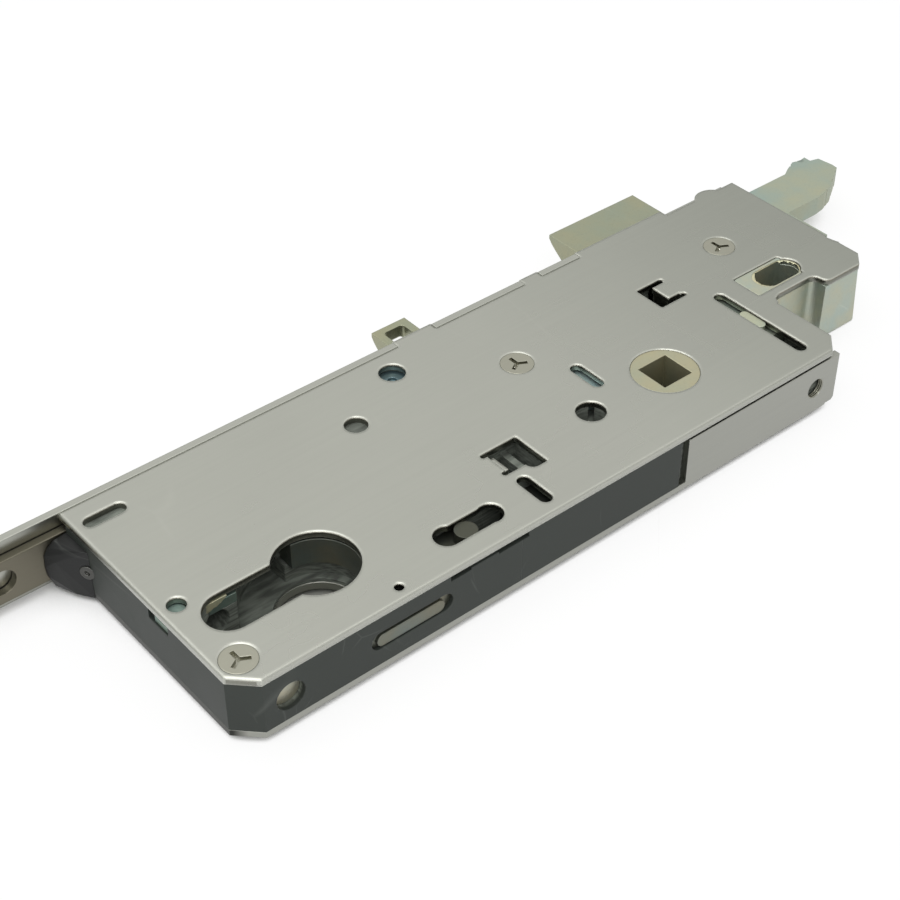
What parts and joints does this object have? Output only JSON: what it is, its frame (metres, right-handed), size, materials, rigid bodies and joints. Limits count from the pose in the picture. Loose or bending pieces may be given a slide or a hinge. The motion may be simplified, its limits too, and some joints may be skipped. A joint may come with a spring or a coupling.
{
  "type": "multipoint_lock_case",
  "caption": "Case of a multipoint door lock with faceplate, sprung latches, drive rail, cylinder opening, spindle follower and toothed rod head",
  "frame": {"origin": "On the axis of the square spindle hole, at half the thickness of the moulded body", "axes": "+X along the drive rail towards the rod head (up the door), +Y towards the faceplate and out of the door edge, +Z out of the cover plate along the spindle axis"},
  "size_m": [0.2763, 0.0752, 0.0167],
  "materials": {
    "stainless": "bright",
    "black_plastic": "matte",
    "zinc": "satin",
    "screw_steel": "satin",
    "plated_steel": "satin",
    "latch_metal": "satin",
    "spring_steel": "satin"
  },
  "bodies": {
    "case": {"faceplate": "stainless", "cover_plate": "stainless", "base_plate": "stainless", "case_body": "black_plastic", "gear_body": "black_plastic", "end_housing": "zinc", "case_screws": "screw_steel", "guide_pin": "plated_steel", "end_clip": "zinc", "rear_pin": "plated_steel", "slide_keeper": "zinc", "rail_guide": "black_plastic", "guide_screw": "screw_steel"},
    "ring": {"lock_ring": "zinc"},
    "lock_bar": {"lock_slide": "zinc"},
    "lever": {"latch_lever": "plated_steel"},
    "spindle": {"follower": "zinc"},
    "gear": {"drive_gear": "plated_steel"},
    "rail": {"drive_slide": "plated_steel", "rail_bracket": "plated_steel", "rail_rivets": "plated_steel", "drive_rail": "plated_steel", "rail_link": "plated_steel", "rod_connector": "zinc", "connector_rivets": "plated_steel"},
    "latch": {"latch_bolt": "latch_metal", "latch_carriage": "zinc", "carriage_rivets": "plated_steel", "latch_spring": "spring_steel"},
    "snib": {"small_latch": "latch_metal", "small_latch_spring": "spring_steel"}
  },
  "joints": [
    {"name": "latch_slide", "type": "slide", "parent": "case", "child": "latch", "axis": [0, 1, 0], "range_m": [-0.0117, 0], "stiffness_N_per_m": 250, "springref_m": 0.02, "deforming": ["latch_spring"]},
    {"name": "press", "type": "hinge", "parent": "case", "child": "lever", "pos_m": [0, 0, 0], "axis": [0, 0, 1], "range_deg": [-30, 0]},
    {"name": "lift", "type": "hinge", "parent": "lever", "child": "spindle", "pos_m": [0, 0, 0], "axis": [0, 0, 1], "range_deg": [0, 60]},
    {"name": "gear_turn", "type": "hinge", "parent": "case", "child": "gear", "pos_m": [0, 0, 0], "axis": [0, 0, 1], "range_deg": [0, 60]},
    {"name": "rail_slide", "type": "slide", "parent": "case", "child": "rail", "axis": [1, 0, 0], "range_m": [-0.01675, 0]},
    {"name": "ring_turn", "type": "hinge", "parent": "case", "child": "ring", "pos_m": [-0.092, 0, 0], "axis": [0, 0, 1], "range_deg": [-14.3, 28.6]},
    {"name": "bar_slide", "type": "slide", "parent": "case", "child": "lock_bar", "axis": [1, 0, 0], "range_m": [-0.003, 0.006]},
    {"name": "snib_slide", "type": "slide", "parent": "case", "child": "snib", "axis": [0, 1, 0], "range_m": [-0.008, 0], "stiffness_N_per_m": 150, "springref_m": 0.012, "deforming": ["small_latch_spring"]}
  ],
  "couplings": [
    {"joint": "press", "follows": "latch_slide", "rad_per_m": 44.7},
    {"joint": "gear_turn", "follows": "rail_slide", "rad_per_m": -62.5},
    {"joint": "lift", "follows": "rail_slide", "rad_per_m": -62.5},
    {"joint": "bar_slide", "follows": "ring_turn", "m_per_rad": 0.012}
  ]
}
